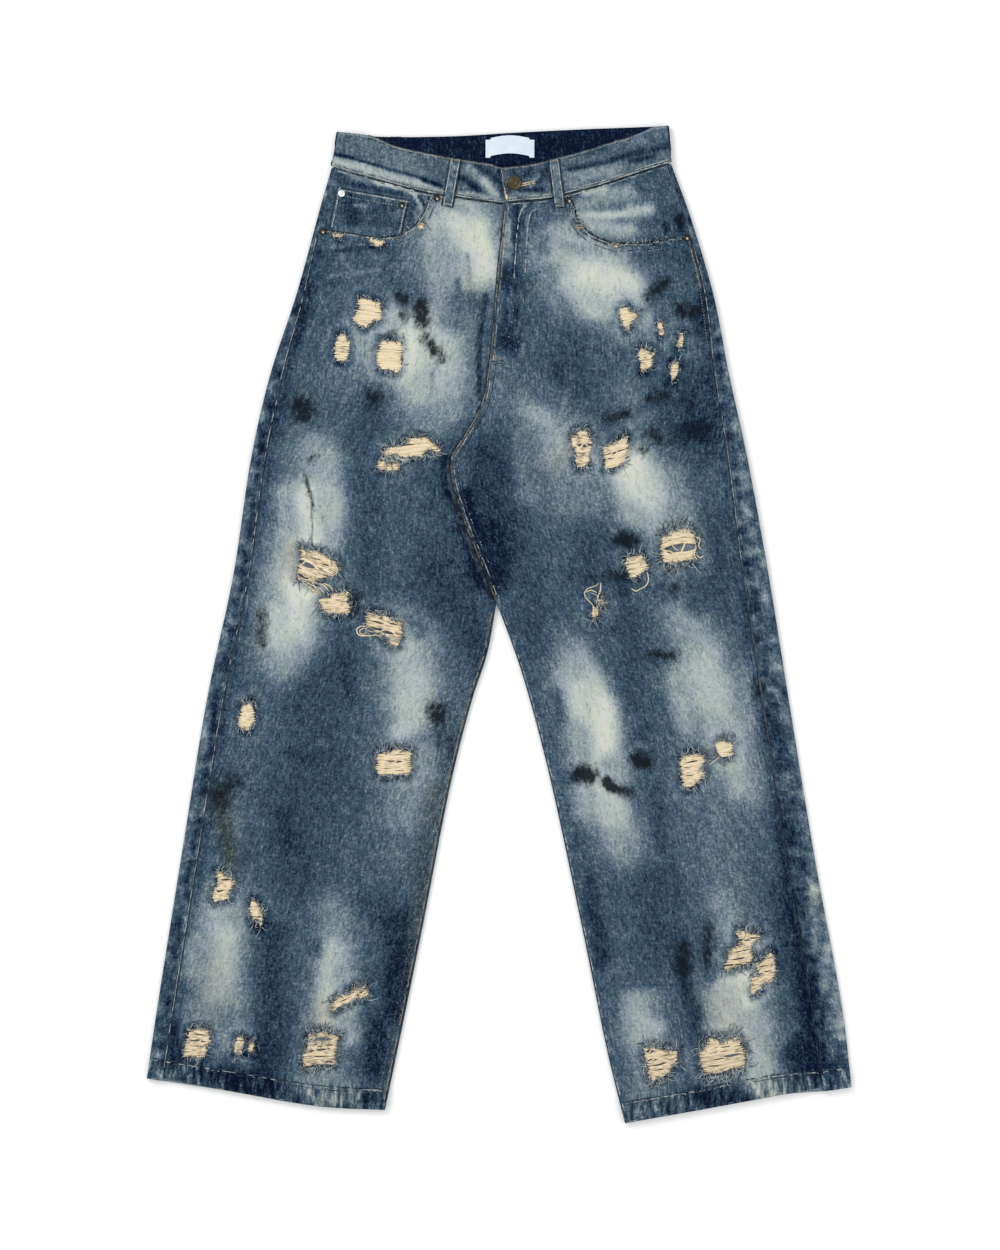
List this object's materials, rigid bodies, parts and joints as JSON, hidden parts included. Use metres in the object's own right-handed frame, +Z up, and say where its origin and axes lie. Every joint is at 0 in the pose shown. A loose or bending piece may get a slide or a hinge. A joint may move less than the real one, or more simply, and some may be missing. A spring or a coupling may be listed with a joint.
{
  "type": "ripped jeans",
  "caption": "Baggy straight-leg ripped denim jeans laid flat and face up, buttoned, with faded, stained and torn legs.",
  "frame": {"origin": "on the surface that the jeans lie on, under the middle of their whole outline", "axes": "+X towards the wearer's left side, +Y towards the waist, +Z up and away from the surface"},
  "size_m": [0.8028, 1.136, 0.013],
  "materials": {
    "faded_denim": "stonewashed indigo denim with bleached patches, stains and torn holes",
    "dark_denim": "stonewashed indigo denim, less faded",
    "label_satin": "woven white satin, bare",
    "aged_brass": "antique brass, dull",
    "worn_rivet": "worn nickel-plated brass"
  },
  "bodies": {
    "root": {"front_right": "faded_denim", "front_left": "faded_denim", "back_right": "dark_denim", "back_left": "dark_denim", "yoke_right": "dark_denim", "yoke_left": "dark_denim", "waistband": "faded_denim", "pocket_facing_right": "faded_denim", "pocket_facing_left": "faded_denim", "coin_pocket": "dark_denim", "back_pocket_right": "dark_denim", "back_pocket_left": "dark_denim", "belt_loop_front_right": "faded_denim", "belt_loop_front_left": "faded_denim", "belt_loop_side_right": "dark_denim", "belt_loop_centre": "dark_denim", "belt_loop_side_left": "dark_denim", "label": "label_satin", "button": "aged_brass", "rivet_coin_side": "worn_rivet", "rivet_coin_front": "worn_rivet", "rivet_mouth_right": "worn_rivet", "rivet_side_right": "worn_rivet", "rivet_mouth_left": "worn_rivet", "rivet_side_left": "worn_rivet"}
  },
  "joints": []
}
